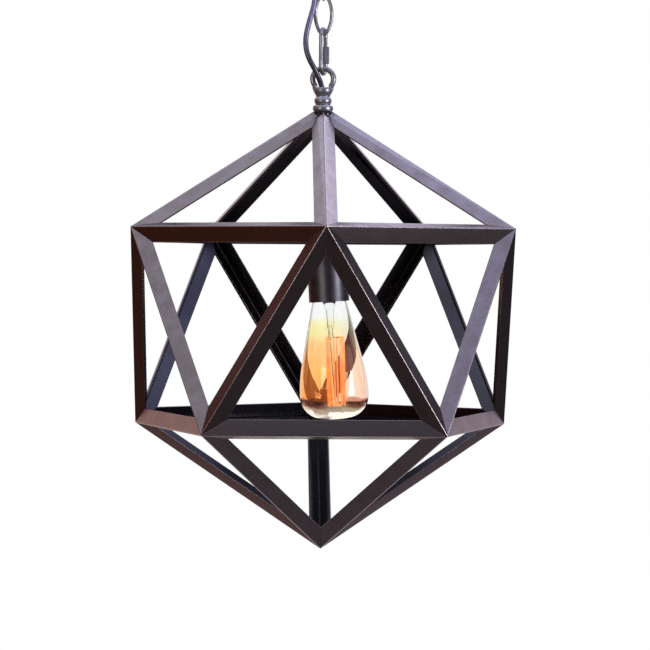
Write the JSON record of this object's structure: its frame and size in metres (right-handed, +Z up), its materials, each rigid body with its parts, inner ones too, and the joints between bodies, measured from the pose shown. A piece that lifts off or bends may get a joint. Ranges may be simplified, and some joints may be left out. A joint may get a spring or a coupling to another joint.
{
  "type": "pendant lamp",
  "caption": "Pendant lamp: an open icosahedral cage of mitred angle iron round a long amber bulb, hung on a short chain from a ceiling canopy.",
  "frame": {"origin": "centre of the mounting strap's upper face, against the ceiling", "axes": "+Z up, into the ceiling; -Y is the front, the side that the picture shows; +X is the viewer's right"},
  "size_m": [0.352, 0.37, 0.6294],
  "materials": {
    "bronze_iron": "satin dark bronze patina over iron, thin bright wear on the ridges",
    "bronze_sheet": "satin dark bronze over thin steel",
    "gunmetal": "satin gunmetal with bright high spots",
    "gunmetal_chain": "semi-gloss gunmetal plating",
    "zinc_steel": "zinc plated",
    "green_screw": "green passivated",
    "porcelain": "glazed",
    "brass": "plain rolled",
    "cord_jacket": "smooth dark sleeve with a soft sheen",
    "amber_glass": "clear at the neck, amber tinted below",
    "nickel_brass": "nickel washed",
    "black_glass": "glossy",
    "solder": "dull solder",
    "clear_glass": "clear",
    "filament_wire": "thin wire, warm orange glow"
  },
  "bodies": {
    "ceiling_mount": {"mounting_strap": "zinc_steel", "ground_screw": "green_screw", "canopy_nipple": "zinc_steel", "canopy_nipple_nut": "zinc_steel", "canopy_loop": "gunmetal", "supply_cord": "cord_jacket"},
    "collar_ring": {"canopy_collar_ring": "gunmetal"},
    "canopy": {"ceiling_canopy": "bronze_sheet"},
    "top_link": {"chain_link_3": "gunmetal_chain"},
    "middle_link": {"chain_link_2": "gunmetal_chain"},
    "bottom_link": {"chain_link_1": "gunmetal_chain"},
    "quick_link_body": {"quick_link": "gunmetal_chain"},
    "sleeve": {"quick_link_sleeve": "gunmetal_chain"},
    "lamp": {"lamp_loop": "gunmetal", "neck_ring": "gunmetal", "apex_hub": "bronze_iron", "stem_tube": "bronze_sheet", "stem_nuts": "bronze_sheet", "stem_lead": "cord_jacket", "socket_cup": "bronze_sheet", "socket_body": "porcelain", "socket_shell": "brass", "socket_tongue": "brass", "terminal_screws": "brass", "crown_strut_1": "bronze_iron", "crown_strut_2": "bronze_iron", "crown_strut_3": "bronze_iron", "crown_strut_4": "bronze_iron", "crown_strut_5": "bronze_iron", "upper_ring_strut_1": "bronze_iron", "upper_ring_strut_2": "bronze_iron", "upper_ring_strut_3": "bronze_iron", "upper_ring_strut_4": "bronze_iron", "upper_ring_strut_5": "bronze_iron", "waist_strut_01": "bronze_iron", "waist_strut_02": "bronze_iron", "waist_strut_03": "bronze_iron", "waist_strut_04": "bronze_iron", "waist_strut_05": "bronze_iron", "waist_strut_06": "bronze_iron", "waist_strut_07": "bronze_iron", "waist_strut_08": "bronze_iron", "waist_strut_09": "bronze_iron", "waist_strut_10": "bronze_iron", "lower_ring_strut_1": "bronze_iron", "lower_ring_strut_2": "bronze_iron", "lower_ring_strut_3": "bronze_iron", "lower_ring_strut_4": "bronze_iron", "lower_ring_strut_5": "bronze_iron", "keel_strut_1": "bronze_iron", "keel_strut_2": "bronze_iron", "keel_strut_3": "bronze_iron", "keel_strut_4": "bronze_iron", "keel_strut_5": "bronze_iron"},
    "bulb": {"bulb_glass": "amber_glass", "bulb_cap": "nickel_brass", "bulb_cap_insulator": "black_glass", "bulb_tip_contact": "solder", "bulb_mount": "clear_glass", "bulb_filament": "filament_wire"}
  },
  "joints": [
    {"name": "collar_ring_drop", "type": "slide", "parent": "ceiling_mount", "child": "collar_ring", "axis": [0, 0, -1], "range_m": [0, 0.025]},
    {"name": "canopy_drop", "type": "slide", "parent": "ceiling_mount", "child": "canopy", "axis": [0, 0, -1], "range_m": [0, 0.025]},
    {"name": "top_link_swing", "type": "hinge", "parent": "ceiling_mount", "child": "top_link", "pos_m": [0, 0, -0.0551], "axis": [0, 1, 0], "range_deg": [-15, 15], "deforming": ["supply_cord"]},
    {"name": "middle_link_swing", "type": "hinge", "parent": "top_link", "child": "middle_link", "pos_m": [0, 0, -0.08575], "axis": [1, 0, 0], "range_deg": [-15, 15], "deforming": ["supply_cord"]},
    {"name": "bottom_link_swing", "type": "hinge", "parent": "middle_link", "child": "bottom_link", "pos_m": [0, 0, -0.11725], "axis": [0, 1, 0], "range_deg": [-15, 15], "deforming": ["supply_cord"]},
    {"name": "quick_link_swing", "type": "hinge", "parent": "bottom_link", "child": "quick_link_body", "pos_m": [0, 0, -0.14875], "axis": [1, 0, 0], "range_deg": [-15, 15], "deforming": ["supply_cord"]},
    {"name": "sleeve_travel", "type": "slide", "parent": "quick_link_body", "child": "sleeve", "axis": [0, 0, 1], "range_m": [0, 0.01]},
    {"name": "lamp_swing", "type": "hinge", "parent": "quick_link_body", "child": "lamp", "pos_m": [0, 0, -0.1863], "axis": [0.314, 0.9494, 0], "range_deg": [-20, 20], "deforming": ["supply_cord"]},
    {"name": "bulb_unscrew", "type": "slide", "parent": "lamp", "child": "bulb", "axis": [0.061, 0, -0.9981], "range_m": [0, 0.027]}
  ],
  "couplings": [
    {"joint": "canopy_drop", "follows": "collar_ring_drop", "ratio": 1}
  ]
}
